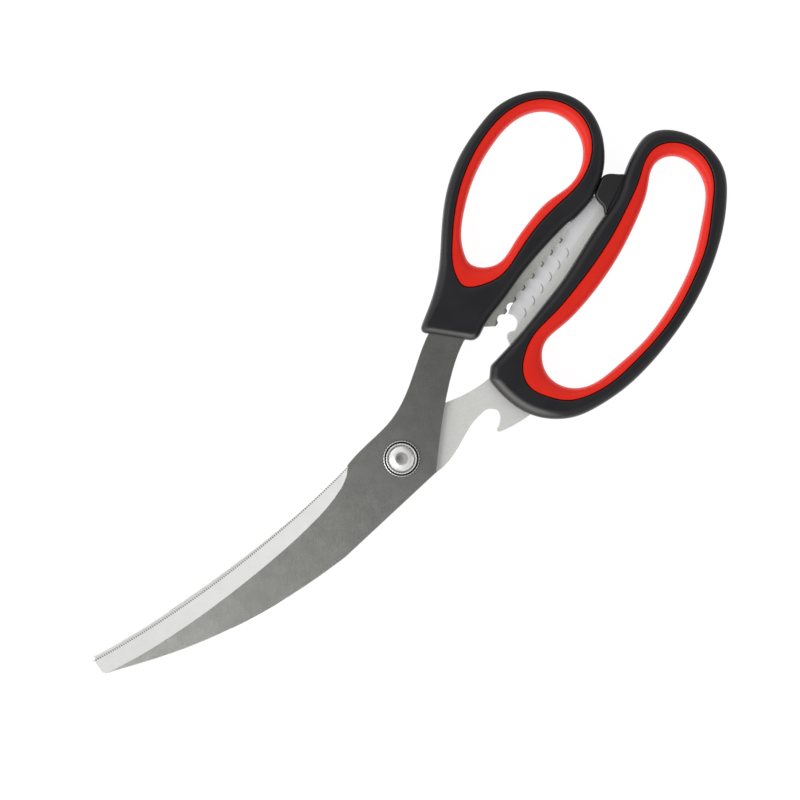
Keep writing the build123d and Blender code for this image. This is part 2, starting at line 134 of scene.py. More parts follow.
# --- pivot ---
KNURL_TEETH = 36
KNURL_POINTS = 8
KNURL_DEPTH = 0.3
AXIS_R = 0.05
DOME_R = 4.15
DOME_FOOT = 0.2
DOME_STEPS = 16
DOME_POWER = 3.2
WASHER_SINK_R = 5.3
WASHER_BORE_R = 2.32
WASHER_SINK = 0.3
HEAD_TOP = 2.1
NECK_R = 3.6
NECK_HALF_FLATS = 3.05
NECK_TOP = 5.45
JOURNAL_R = 3.0
JOURNAL_TOP = 8.1
THREAD_R = 2.28
THREAD_CHAMFER = 0.35
DIMPLE_R = 2.2
DIMPLE_DEPTH = 0.2
# Centre, reach and darkness of a painted shade spot near the dome's top.
DIMPLE_CENTRE = (-0.45, 0.75)
DIMPLE_SHADE = (0.15, 1.15)
DIMPLE_SHADE_TONE = 0.4

# --- blades ---
EDGE_ROUND = 0.22
SMALLEST_EDGE = 0.005
SHARP_EDGE = 28
FLAT_JOIN = 0.5
BLADE_HEEL_X = -13
THIN_WALL = 0.66
FRONT_HEEL = ((-17, -12.9), (8, 12))
REAR_HEEL = ((-17, -12.9), (-14, -8))
REAR_TIP = ((-113, -109), (5, 9))
TIP_THIN_X = -111
FRONT_UNDERSIDE = 5.6
BEVEL_TILT = (0.35, 0.985)
SHOULDER_EDGE = 5
EDGE_UNIT = 100
EDGE_DEGREE = 5
EDGE_ABOVE_Y = 7
EDGE_RISE = 0.35
EDGE_RISE_X = -100
EDGE_END_X = BLADE_HEEL_X - 1.6
EDGE_BELOW_Z = MID_Z + 0.2
SERRATION_PITCH = 0.75
SERRATION_EDGE = 0.56
FRONT_TOOTH_ROW = ((49.55, 12.9), (81.45, 19.7), 7)
TOOTH_WIDTH = 1.4
REAR_TOOTH_ROW = ((61.6, 18.5), (84.1, 22.0), 5)
FLUTE_RUN = (6.35, 3.98)
FLUTE_SHIFT = 0.9

# --- finishes: colours as pairs that noise or a place along X blends ---
NOISE_SPREAD = (0.3, 0.7)
CLOUD_SPREAD = (0.35, 0.65)
NYLON = ((0.0080, 0.0075, 0.0095), (0.0125, 0.0110, 0.0140))
# Lighter colour for the handles' nose faces: a painted highlight.
NYLON_HIGHLIGHT = (0.15, 0.147, 0.140)
BUFFER_RUBBER = ((0.003, 0.003, 0.004), (0.005, 0.005, 0.006))
# Lighter colour for the buffer's rounded edge: a painted highlight.
BUFFER_HIGHLIGHT = (0.11, 0.108, 0.105)
LINER_RED = ((0.80, 0.011, 0.002), (0.88, 0.018, 0.003))
# The front face's tones along X are a painted reflection, darker towards the shank.
GROUND_FACE_REFLECTION = ((0.77, 0.775, 0.73), (0.27, 0.275, 0.26))
GROUND_FACE_X = (-105, 25)
# The toothed plate's tones lighten towards the handles: painted light against their shade.
GROUND_PLATE = ((0.60, 0.605, 0.56), (0.99, 0.99, 0.93))
GROUND_PLATE_X = (60, 76)
PLATE_START_X = (43, 48)
# The bevel's tones are a painted highlight, brightest towards the tip.
LIT_BEVEL = ((0.99, 0.99, 0.975), (0.77, 0.775, 0.755))
BEVEL_X = (-100, -15)
# Where along X, and how dark, the painted shadows at the blunt teeth are.
TOOTH_SHADOW_X = (48, 83)
TOOTH_SHADOW_TONE = 0.72
# How dark the painted shade along the serrations is.
SERRATION_SHADE_TONE = 0.75
SATIN_SHANK = ((0.84, 0.84, 0.81), (0.92, 0.92, 0.90))
SATIN_FLUTES = (0.97, 0.97, 0.985)
FLUTES_START_X = (52, 54)
# Radius and facing of the painted shade strokes at the flutes' ends.
FLUTE_SHADE_R = 1.75
FLUTE_SHADE_TOWARD = (0.66, -0.75)
# Where the rear plate turns less metallic so it reads lighter near the handles: painted light against
# their shade.
SATIN_METAL_X = (60, 96)
NUT_TONE = (0.95, 0.945, 0.925)
# From this radius out, painted shade darkens the gaps between the nut's knurl teeth.
NUT_KNURL_R = 4.74
# The ring of the nut's groove that painted shade darkens.
NUT_GROOVE_SHADE_R = (4.20, 4.30)
SCREW_TONE = (0.92, 0.915, 0.895)
WASHER_TONE = (0.86, 0.85, 0.83)
# From this radius out, painted shade darkens the gaps between the washer's knurl teeth.
WASHER_KNURL_R = 5.42
# The ring of the washer's sunk face that painted shade darkens.
WASHER_FACE_SHADE_R = (4.6, 5.32)
SPRING_TONE = (0.45, 0.46, 0.48)


# ---------------------------------------------------------------- mesh tools

def section(node, z):
    """The closed loops in which a level plane cuts a CAD node, in millimetres, longest first."""
    bm = bmesh.new()
    bm.from_mesh(frame["nodes"][node].data)
    bmesh.ops.remove_doubles(bm, verts=bm.verts, dist=WELD * MM)
    everything = bm.verts[:] + bm.edges[:] + bm.faces[:]
    cut = bmesh.ops.bisect_plane(bm, geom=everything, plane_co=(0, 0, z * MM), plane_no=(0, 0, 1))
    joined = {}
    for item in cut["geom_cut"]:
        if isinstance(item, bmesh.types.BMEdge):
            a, b = item.verts
            joined.setdefault(a, []).append(b)
            joined.setdefault(b, []).append(a)
    loops = []
    while joined:
        start = next(iter(joined))
        loop = [start]
        while True:
            onward = [v for v in joined.pop(loop[-1], []) if v in joined]
            if not onward:
                break
            loop.append(onward[0])
        loops.append(np.array([(v.co.x, v.co.y) for v in loop]) / MM)
    bm.free()
    return sorted(loops, key=perimeter, reverse=True)


def perimeter(loop):
    return np.linalg.norm(np.roll(loop, -1, axis=0) - loop, axis=1).sum()


def evened(loop, count, soften):
    """A loop as evenly spaced points, counter-clockwise from its right end, softened over a distance."""
    x, y = loop.T
    if np.sum(x * np.roll(y, -1) - np.roll(x, -1) * y) < 0:
        loop = loop[::-1]
    loop = np.roll(loop, -int(np.argmax(loop[:, 0])), axis=0)
    closed = np.vstack([loop, loop[:1]])
    reach = np.concatenate([[0], np.cumsum(np.linalg.norm(np.diff(closed, axis=0), axis=1))])
    places = np.linspace(0, reach[-1], count, endpoint=False)
    x, y = (np.interp(places, reach, closed[:, axis]) for axis in (0, 1))
    waves = np.fft.fftfreq(count, reach[-1] / count)
    smooth = np.fft.ifft(np.fft.fft(x + 1j * y) * np.exp(-2 * (math.pi * waves * soften) ** 2))
    return np.column_stack([smooth.real, smooth.imag])


def softened(values, sigma):
    """Values round a loop, blurred over sigma places."""
    waves = np.fft.fftfreq(len(values))
    return np.fft.ifft(np.fft.fft(values) * np.exp(-2 * (math.pi * waves * sigma) ** 2)).real


def matched(inner, outer):
    """For each point of an outer loop, its partner on an inner loop, nearest to it but evenly spread."""
    fine = evened(inner, 4 * AROUND, LOOP_SOFTNESS)
    gaps = np.linalg.norm(outer[:, None] - fine[None], axis=2)
    turn = np.unwrap(2 * math.pi * np.argmin(gaps, axis=1) / len(fine))
    even = 2 * math.pi * np.arange(len(outer)) / len(outer)
    turn = even + softened(turn - even, PARTNER_BLUR)
    places = turn / (2 * math.pi) * len(fine)
    low = np.floor(places).astype(int)
    share = (places - low)[:, None]
    return fine[low % len(fine)] * (1 - share) + fine[(low + 1) % len(fine)] * share


def outward(loop):
    """Unit normals of a counter-clockwise loop, pointing out of it."""
    along = np.roll(loop, -1, axis=0) - np.roll(loop, 1, axis=0)
    normal = np.column_stack([along[:, 1], -along[:, 0]])
    return normal / np.linalg.norm(normal, axis=1)[:, None]


def smoothstep(values, low, high):
    share = np.clip((values - low) / (high - low), 0, 1)
    return share * share * (3 - 2 * share)


def level(points, z):
    """Points of the plan with a height, one for all or one each."""
    return np.column_stack([points, np.broadcast_to(z, len(points))])


def mirrored(rows):
    """The rows reflected in the handles' middle plane, last row first."""
    return [row * (1, 1, -1) + (0, 0, 2 * MID_Z) for row in reversed(rows)]


def shaded(name, verts, faces):
    """A mesh object from points in millimetres, smooth but for its sharp edges."""
    mesh = bpy.data.meshes.new(name)
    mesh.from_pydata((np.asarray(verts) * MM).tolist(), [], faces)
    mesh.validate()
    mesh.shade_smooth()
    mesh.set_sharp_from_angle(angle=math.radians(MOULDED_SHARP))
    piece = bpy.data.objects.new(name, mesh)
    bpy.context.scene.collection.objects.link(piece)
    return piece


def ring_faces(rows, count, closed):
    """Quads between neighbouring rows of a count of points each."""
    faces = []
    for row in range(rows if closed else rows - 1):
        here = row * count
        above = (row + 1) % rows * count
        for i in range(count):
            j = (i + 1) % count
            faces.append((here + i, here + j, above + j, above + i))
    return faces


def tube(name, rows):
    """A closed ring-shaped surface through rows of points."""
    count = len(rows[0])
    return shaded(name, np.vstack(rows), ring_faces(len(rows), count, closed=True))


def plug(name, rows):
    """A surface through rows of points, capped at its first and last row."""
    count = len(rows[0])
    faces = ring_faces(len(rows), count, closed=False)
    faces.append(tuple(reversed(range(count))))
    faces.append(tuple(range((len(rows) - 1) * count, len(rows) * count)))
    return shaded(name, np.vstack(rows), faces)


def placed(piece, body, node, material):
    """The piece rides on a body, stands for a CAD node and takes its finish."""
    piece.data.materials.append(material)
    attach(piece, body)
    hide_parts(node)


# ---------------------------------------------------------------- material tools

class Nodes:
    """A node tree, written as nested calls."""

    def __init__(self, tree):
        self.tree = tree

    def node(self, kind, inputs, output=0, **settings):
        made = self.tree.nodes.new(kind)
        for key, value in settings.items():
            setattr(made, key, value)
        for key, value in inputs.items():
            self.feed(made.inputs[key], value)
        return made.outputs[output]

    def feed(self, socket, value):
        if isinstance(value, bpy.types.NodeSocket):
            self.tree.links.new(value, socket)
        else:
            socket.default_value = value


class Graph(Nodes):
    """A material's node tree. Coordinates are in metres, in the row frame."""

    def __init__(self, name):
        self.material = bpy.data.materials.new(name)
        self.material.use_nodes = True
        super().__init__(self.material.node_tree)
        self.shader = self.tree.nodes["Principled BSDF"]
        self.place = self.tree.nodes.new("ShaderNodeTexCoord").outputs["Object"]

    def set(self, **values):
        for key, value in values.items():
            self.feed(self.shader.inputs[key.replace("_", " ")], value)

    def math(self, operation, a, b=0.0):
        return self.node("ShaderNodeMath", {0: a, 1: b}, operation=operation)

    def axis(self, name):
        return self.node("ShaderNodeSeparateXYZ", {0: self.place}, output=name)

    def facing(self, name):
        """A component of the surface's normal."""
        geometry = self.tree.nodes.new("ShaderNodeNewGeometry")
        return self.node("ShaderNodeSeparateXYZ", {0: geometry.outputs["Normal"]}, output=name)

    def ramp(self, value, low, high, start=0.0, end=1.0):
        """A value's share of the way from low to high, mapped to start and end."""
        return self.node("ShaderNodeMapRange", {"Value": value, "From Min": low, "From Max": high,
                                                "To Min": start, "To Max": end})

    def band(self, value, low, high, soft):
        """1 between two limits, falling to 0 over a soft margin outside them."""
        rise = self.ramp(value, low - soft, low)
        return self.math("MULTIPLY", rise, self.ramp(value, high, high + soft, 1.0, 0.0))

    def both(self, a, b):
        return self.math("MULTIPLY", a, b)

    def attribute(self, name):
        return self.node("ShaderNodeAttribute", {}, output="Fac", attribute_name=name)

    def linear(self, x, y, offset):
        """x and y multiples of the place in the plan, in millimetres, plus an offset in millimetres."""
        flat = self.node("ShaderNodeVectorMath", {0: self.place, 1: (x / MM, y / MM, 0)}, output=1,
                         operation="DOT_PRODUCT")
        return self.math("ADD", flat, offset)

    def tooth_row(self, row, phase):
        """Places in a row of teeth.

        The way along it from the nearest tip, the count of pitches from its start, and the depth.
        """
        (x, y), (far_x, far_y), pitches = row
        length = math.hypot(far_x - x, far_y - y)
        cos, sin = (far_x - x) / length, (far_y - y) / length
        pitch = length / pitches
        count = self.linear(cos / pitch, sin / pitch, -(x * cos + y * sin) / pitch)
        wrapped = self.math("MULTIPLY", self.math("ADD", self.math("FRACT", self.math(
            "ADD", count, 0.5 - phase)), -0.5), pitch)
        return wrapped, count, self.linear(-sin, cos, x * sin - y * cos)

    def arc(self, along, across, radius, half_width, toward):
        """A soft crescent: part of a circle's line that lies toward a direction from its centre."""
        place = self.node("ShaderNodeCombineXYZ", {0: along, 1: across})
        distance = self.node("ShaderNodeVectorMath", {0: place}, output=1, operation="LENGTH")
        facing = self.node("ShaderNodeVectorMath", {0: place, 1: (*toward, 0)}, output=1,
                           operation="DOT_PRODUCT")
        facing = self.math("DIVIDE", facing, distance)
        line = self.band(distance, radius - half_width, radius + half_width, half_width)
        return self.both(line, self.ramp(facing, 0.45, 0.85))

    def turned(self, angle, stretch):
        """Coordinates turned about Z, then scaled along each axis."""
        turned = self.node("ShaderNodeMapping", {"Vector": self.place, "Rotation": (0, 0, angle)})
        return self.node("ShaderNodeMapping", {"Vector": turned, "Scale": stretch})

    def noise(self, size, detail=2.0, roughness=0.5, place=None):
        """Noise with features of a size in millimetres."""
        return self.node("ShaderNodeTexNoise", {"Vector": place or self.place, "Scale": 1 / (size * MM),
                                                "Detail": detail, "Roughness": roughness})

    def blend(self, share, a, b):
        """A colour between two colours."""
        return self.node("ShaderNodeMix", {"Factor": share, 6: colour(a), 7: colour(b)}, output=2,
                         data_type="RGBA")

    def tint(self, base, value):
        """A colour multiplied by a value."""
        return self.node("ShaderNodeVectorMath", {0: base, "Scale": value}, operation="SCALE")

    def bump(self, height, depth):
        """A bump whose depth is in millimetres."""
        return self.node("ShaderNodeBump", {"Height": height, "Distance": depth * MM, "Strength": 1.0})


def colour(value):
    return value if isinstance(value, bpy.types.NodeSocket) else (*value, 1.0)


# ---------------------------------------------------------------- materials

def black_plastic():
    """Moulded nylon: near black, fine spark-eroded grain, roughness varying a little, and a painted
    highlight lightening the sloped nose faces.
    """
    g = Graph("black_plastic")
    grain = g.noise(0.22, detail=3)
    cloudy = g.noise(9.0, detail=2)
    skin = g.blend(cloudy, *NYLON)
    # The nose attribute lightens the sloped nose face: a painted highlight.
    g.set(Base_Color=g.blend(g.attribute("nose"), skin, NYLON_HIGHLIGHT),
          Roughness=g.ramp(cloudy, *CLOUD_SPREAD, 0.36, 0.44), Specular_IOR_Level=0.42,
          Normal=g.bump(grain, 0.012))
    return g.material


def black_rubber():
    """The stop buffer's softer compound, with a painted highlight along its rounded edge towards the
    plate.
    """
    g = Graph("black_rubber")
    grain = g.noise(0.3, detail=2)
    skin = g.blend(grain, *BUFFER_RUBBER)
    # The nose attribute lightens the rounded edge: a painted highlight.
    g.set(Base_Color=g.blend(g.attribute("nose"), skin, BUFFER_HIGHLIGHT),
          Roughness=g.ramp(grain, *NOISE_SPREAD, 0.50, 0.62), Normal=g.bump(grain, 0.01))
    return g.material


def red_rubber():
    """Soft grip liner: saturated red elastomer with a fine matt skin."""
    g = Graph("red_rubber")
    grain = g.noise(0.28, detail=3)
    cloudy = g.noise(7.0, detail=2)
    g.set(Base_Color=g.blend(cloudy, *LINER_RED),
          Roughness=g.ramp(grain, *NOISE_SPREAD, 0.40, 0.50), Specular_IOR_Level=0.35,
          Normal=g.bump(grain, 0.006))
    return g.material


def ground_steel():
    """Front blade: ground face, darkest at the shank as a painted reflection, a bevel painted bright as a
    highlight, painted shade along the serrations and at the plate's teeth, and the plate painted lighter
    towards the handles against their shade.
    """
    g = Graph("ground_steel")
    x = g.linear(1, 0, 0)
    grit = g.noise(0.45, detail=4, roughness=0.7)
    cloudy = g.noise(5.0, detail=3)
    scratch = g.noise(0.5, detail=3, place=g.turned(math.radians(-50), (0.12, 1.6, 1)))
    # Painted reflection: the face darkens towards the shank.
    face = g.blend(g.ramp(x, *GROUND_FACE_X), *GROUND_FACE_REFLECTION)
    # Painted light: the plate lightens towards the handles.
    plate = g.blend(g.ramp(x, *GROUND_PLATE_X), *GROUND_PLATE)
    face = g.blend(g.ramp(x, *PLATE_START_X), face, plate)
    mottle = g.ramp(grit, *NOISE_SPREAD, 0.90, 1.10)
    mottle = g.math("ADD", mottle, g.ramp(cloudy, *CLOUD_SPREAD, -0.06, 0.06))
    face = g.tint(face, g.math("ADD", mottle, g.ramp(scratch, *NOISE_SPREAD, -0.04, 0.04)))
    # The bevel faces, marked by the ground attribute, are painted bright: a painted highlight.
    bevel = g.blend(g.ramp(x, *BEVEL_X), *LIT_BEVEL)
    bevel = g.tint(bevel, g.ramp(cloudy, *CLOUD_SPREAD, 0.98, 1.02))
    face = g.blend(g.attribute("ground"), face, bevel)
    # A dotted line of painted shade along the serrations, on the bevel only.
    dots = g.both(painted_serration_shade(g), g.attribute("ground"))
    # The painted shadows at the teeth and the painted shade along the serrations darken the face.
    marks = g.math("MAXIMUM", g.both(tooth_shadow(g), TOOTH_SHADOW_TONE), g.both(dots, SERRATION_SHADE_TONE))
    g.set(Base_Color=g.tint(face, g.math("SUBTRACT", 1.0, marks)), Metallic=1.0,
          Roughness=g.ramp(grit, *NOISE_SPREAD, 0.30, 0.40), Normal=g.bump(scratch, 0.0015))
    return g.material


def tooth_shadow(g):
    """Painted shadow along each blunt tooth's tip and down its flank, between the handles."""
    along, _, depth = g.tooth_row(FRONT_TOOTH_ROW, 0.0)
    tip = g.both(g.band(depth, -0.2, 0.34, 0.12), g.band(along, -0.5, 0.9, 0.2))
    leaning = g.math("SUBTRACT", along, g.both(depth, 0.25))
    flank = g.both(g.band(leaning, 0.38, 0.75, 0.12), g.band(depth, 0, 0.8, 0.3))
    return g.both(g.math("MAXIMUM", tip, flank), g.band(g.linear(1, 0, 0), *TOOTH_SHADOW_X, 0.5))


def painted_serration_shade(g):
    """Painted shade at the roots of the serrations, a dotted line just inside the front blade's edge."""
    unit = g.linear(1 / EDGE_UNIT, 0, 0)
    height = 0.0
    for factor in EDGE_LINE:
        height = g.math("ADD", g.math("MULTIPLY", height, unit), float(factor))
    inside = g.math("SUBTRACT", height, g.linear(0, 1, 0))
    dot = g.math("FRACT", g.linear(1 / SERRATION_PITCH, 0, 0))
    dot = g.ramp(g.math("ABSOLUTE", g.math("ADD", dot, -0.5)), 0.14, 0.34)
    return g.both(g.band(inside, 0.05, 0.42, 0.15), dot)


def edge_line():
    """The front blade's edge as a polynomial of x, highest power first."""
    points = np.array([v.co[:] for v in frame["nodes"]["front_blade"].data.vertices]) / MM
    x, y = points[:, 0], points[:, 1]
    upper = y > EDGE_ABOVE_Y + EDGE_RISE * np.maximum(0, EDGE_RISE_X - x)
    edge = upper & (x < EDGE_END_X) & (points[:, 2] < EDGE_BELOW_Z)
    return np.polyfit(x[edge] / EDGE_UNIT, y[edge], EDGE_DEGREE)


def satin_steel():
    """Rear blade: bead-blasted shank, smoother where the flutes are ground, painted shade as dark strokes
    at their ends, and less metallic towards the handles as painted light against their shade.
    """
    g = Graph("satin_steel")
    x = g.linear(1, 0, 0)
    grain = g.noise(0.35, detail=4, roughness=0.75)
    cloudy = g.noise(10.0, detail=2)
    along, count, depth = g.tooth_row(REAR_TOOTH_ROW, FLUTE_SHIFT)
    slope = (FLUTE_RUN[1] - FLUTE_RUN[0]) / REAR_TOOTH_ROW[2]
    end = g.math("ADD", g.math("MULTIPLY", count, -slope), -FLUTE_RUN[0])
    beyond = g.math("SUBTRACT", depth, end)
    fluted = g.both(g.ramp(beyond, -1.6, -1.0), g.ramp(x, *FLUTES_START_X))
    # Painted shade: a dark crescent stroke at each flute's end.
    flute_end_shade = g.arc(along, beyond, FLUTE_SHADE_R, 0.12, FLUTE_SHADE_TOWARD)
    on_flutes = g.band(count, -1.6, REAR_TOOTH_ROW[2] - 0.4, 0.05)
    flute_end_shade = g.both(flute_end_shade, g.both(on_flutes, g.ramp(g.facing("Z"), 0.5, 0.9)))
    rough = g.tint(g.blend(cloudy, *SATIN_SHANK), g.ramp(grain, *NOISE_SPREAD, 0.92, 1.06))
    smooth = g.tint(SATIN_FLUTES, g.ramp(grain, *NOISE_SPREAD, 0.985, 1.015))
    base = g.blend(fluted, rough, smooth)
    # Metallic falls towards the handles so the plate reads lighter there: painted light against their
    # shade.
    g.set(Base_Color=g.tint(base, g.ramp(flute_end_shade, 0, 1, 1.0, 0.5)),
          Metallic=g.ramp(x, *SATIN_METAL_X, 1.0, 0.4),
          Roughness=g.ramp(grain, *NOISE_SPREAD, 0.50, 0.62), Normal=g.bump(grain, 0.006))
    return g.material


def turned_steel(name, base, rough, knurl_from=0.0, dark=None, dimple=False):
    """Lathe-turned steel with faint concentric marks; where asked, painted shade darkens the gaps between
    the knurl's teeth, a recessed ring and a spot near the dome's top.
    """
    g = Graph(name)
    flat = g.node("ShaderNodeVectorMath", {0: g.place, 1: (1, 1, 0)}, operation="MULTIPLY")
    radius = g.node("ShaderNodeVectorMath", {0: flat}, output=1, operation="LENGTH")
    rings = g.noise(0.25, detail=2, place=g.node("ShaderNodeCombineXYZ", {0: radius}))
    wear = g.noise(1.5, detail=3)
    tone = g.ramp(wear, *NOISE_SPREAD, 0.96, 1.04)
    if knurl_from:
        # Painted shade in the gaps between the knurl's teeth.
        angle = g.math("ARCTAN2", g.axis("Y"), g.axis("X"))
        tooth = g.math("FRACT", g.math("MULTIPLY", angle, KNURL_TEETH / (2 * math.pi)))
        knurl_gap_shade = g.ramp(g.math("ABSOLUTE", g.math("ADD", tooth, -0.5)), 0.12, 0.30, 1.0, 0.0)
        knurl_gap_shade = g.both(knurl_gap_shade, g.ramp(radius, knurl_from * MM, (knurl_from + 0.15) * MM))
        tone = g.both(tone, g.ramp(knurl_gap_shade, 0, 1, 1.0, 0.06))
    # Painted shade: a dark spot near the dome's top, off its centre.
    if dimple:
        centre = (DIMPLE_CENTRE[0] * MM, DIMPLE_CENTRE[1] * MM, 0)
        offset = g.node("ShaderNodeVectorMath", {0: flat, 1: centre}, operation="SUBTRACT")
        from_dimple = g.node("ShaderNodeVectorMath", {0: offset}, output=1, operation="LENGTH")
        near, far = (reach * DIMPLE_R * MM for reach in DIMPLE_SHADE)
        tone = g.both(tone, g.ramp(from_dimple, near, far, DIMPLE_SHADE_TONE, 1.0))
    # Painted shade in a recessed ring.
    if dark:
        recess_shade = g.band(radius, dark[0] * MM, dark[1] * MM, 0.04 * MM)
        tone = g.both(tone, g.ramp(recess_shade, 0, 1, 1.0, 0.04))
    g.set(Base_Color=g.tint(base, tone), Metallic=1.0,
          Roughness=g.ramp(rings, *NOISE_SPREAD, rough - 0.04, rough + 0.05), Normal=g.bump(rings, 0.0015))
    return g.material


EDGE_LINE = edge_line()
MATERIALS = {
    "black_plastic": black_plastic(),
    "black_rubber": black_rubber(),
    "red_rubber": red_rubber(),
    "ground_steel": ground_steel(),
    "satin_steel": satin_steel(),
    "pivot_steel": turned_steel("pivot_steel", SCREW_TONE, 0.26),
    "nut_steel": turned_steel("nut_steel", NUT_TONE, 0.34, knurl_from=NUT_KNURL_R, dark=NUT_GROOVE_SHADE_R,
                              dimple=True),
    "spring_steel": turned_steel("spring_steel", SPRING_TONE, 0.32),
    "knurled_steel": turned_steel("knurled_steel", WASHER_TONE, 0.26, knurl_from=WASHER_KNURL_R,
                                  dark=WASHER_FACE_SHADE_R),
}


# ---------------------------------------------------------------- handles and liners

def round_profile(radius):
    """Distance in from the wall, and drop from the top, of a rounded rim."""
    angles = np.linspace(0, math.pi / 2, RIM_STEPS + 1)
    return radius * (1 - np.cos(angles)), radius * (1 - np.sin(angles))


def chamfer_profile(width, drop):
    """The same for a rim cut at a slope, its two edges a little eased."""
    return width * np.array(NOSE_RUN), drop * np.array(NOSE_FALL)


def handle(node, body, nose_facing, nose_limit, nose_width, nose_drop, lip=0.0):
    """A handle moulding: a rounded rim all round, a sloped end face at the nose, a groove at the seam.

    The lip, if any, laps its upper side over the toothed plate.
    """
    outer, inner = section(node, SECTION_Z)[:2]
    wall = evened(outer, AROUND, WALL_SOFTNESS)
    seam = matched(inner, wall)
    inward = seam - wall
    width = np.linalg.norm(inward, axis=1)
    inward = inward / width[:, None]
    normal = outward(wall)
    slant = np.clip(-np.sum(inward * normal, axis=1), 0.5, 1)
    facing = normal @ (np.array(nose_facing) / np.linalg.norm(nose_facing))
    near_nose = smoothstep(-wall[:, 0], -nose_limit, NOSE_FADE - nose_limit)
    at_nose = softened(smoothstep(facing, *NOSE_FACING) * near_nose, NOSE_BLUR)
    radius = np.minimum(RIM_R, RIM_SHARE * width)
    round_run, round_fall = round_profile(1.0)
    nose_run, nose_fall = chamfer_profile(nose_width, nose_drop)
    rows = [level(wall + normal * PARTING_LINE, MID_Z), level(wall, MID_Z + PARTING_HALF)]
    for share in DRAFT_STATIONS:
        rows.append(level(wall - normal * DRAFT * share, MID_Z + share * (MID_Z - RIM_R)))
    # Per row, how much the finish lightens the nose face: a painted highlight.
    painted_highlight = [at_nose * 0] * len(rows)
    for step in range(RIM_STEPS + 1):
        run = round_run[step] * radius * (1 - at_nose) + nose_run[step] * at_nose
        fall = round_fall[step] * radius * (1 - at_nose) + nose_fall[step] * at_nose
        place = wall + inward * (run / slant)[:, None] - normal * DRAFT
        rows.append(level(place, HANDLE_TOP - fall))
        painted_highlight.append(at_nose * NOSE_HIGHLIGHT[step])
    rim_end = rows[-1]
    outside = slice(1, len(rows))
    groove_start = seam - inward * GROOVE_WIDTH
    for share in LAND_SHARES:
        place = rim_end[:, :2] * (1 - share) + groove_start * share
        rows.append(level(place, HANDLE_TOP - LAND_FALL * share))
    for share, fall in GROOVE_STEPS:
        rows.append(level(groove_start + inward * GROOVE_WIDTH * share, HANDLE_TOP - LAND_FALL - fall))
    rows.append(level(seam, MID_Z + SEAM_FOOT * MID_Z))
    painted_highlight += [at_nose * 0] * (len(rows) - len(painted_highlight))
    below = mirrored(rows[1:])
    over_plate = smoothstep(wall[:, 0], LIP_FROM_X, LIP_FROM_X + LIP_FADE)
    over_plate = over_plate * (1 - smoothstep(wall[:, 0], LIP_TO_X - LIP_FADE, LIP_TO_X))
    shift = level(normal * (over_plate * smoothstep(-normal[:, 1], *LIP_FACING) * lip)[:, None], 0)
    rows[outside] = [row + shift for row in rows[outside]]
    piece = tube(node + "_moulding", rows + below)
    # The nose attribute carries that painted highlight to the finish.
    nose = piece.data.attributes.new("nose", "FLOAT", "POINT")
    nose.data.foreach_set("value", np.concatenate(painted_highlight + painted_highlight[:0:-1]).astype(np.float32))
    placed(piece, body, node, MATERIALS["black_plastic"])


def liner(node, body):
    """A grip liner: D-shaped in section, flush near the seam and rolling into the finger hole."""
    outer, inner = section(node, MID_Z)[:2]
    seam = evened(outer, AROUND, LOOP_SOFTNESS)
    hole = matched(inner, seam)
    half = MID_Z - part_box(node)[0].z / MM
    inward = hole - seam
    inward = inward / np.linalg.norm(inward, axis=1)[:, None]
    edge = seam + inward * LINER_GAP
    rows = [level(edge + inward * inset, MID_Z + share * half) for inset, share in LINER_SIDE]
    start = edge + inward * LINER_START
    power = 2 / LINER_SQUARENESS
    for step in range(LINER_STEPS + 1):
        angle = math.pi / 2 * step / LINER_STEPS
        share = math.sin(angle) ** power
        height = max(0.0, math.cos(angle)) ** power
        rows.append(level(start * (1 - share) + hole * share, MID_Z + height * half))
    rows += mirrored(rows[:-1])
    rows.append(level(seam - inward * LINER_KEY, MID_Z))
    piece = tube(node + "_moulding", rows)
    placed(piece, body, node, MATERIALS["red_rubber"])


def nearest(points, node):
    """For each point, the way to the nearest point of a handle's wall."""
    wall = evened(section(node, SECTION_Z)[0], 4 * AROUND, WALL_SOFTNESS)
    gaps = wall[None] - points[:, None]
    return gaps[np.arange(len(points)), np.argmin(np.linalg.norm(gaps, axis=2), axis=1)]


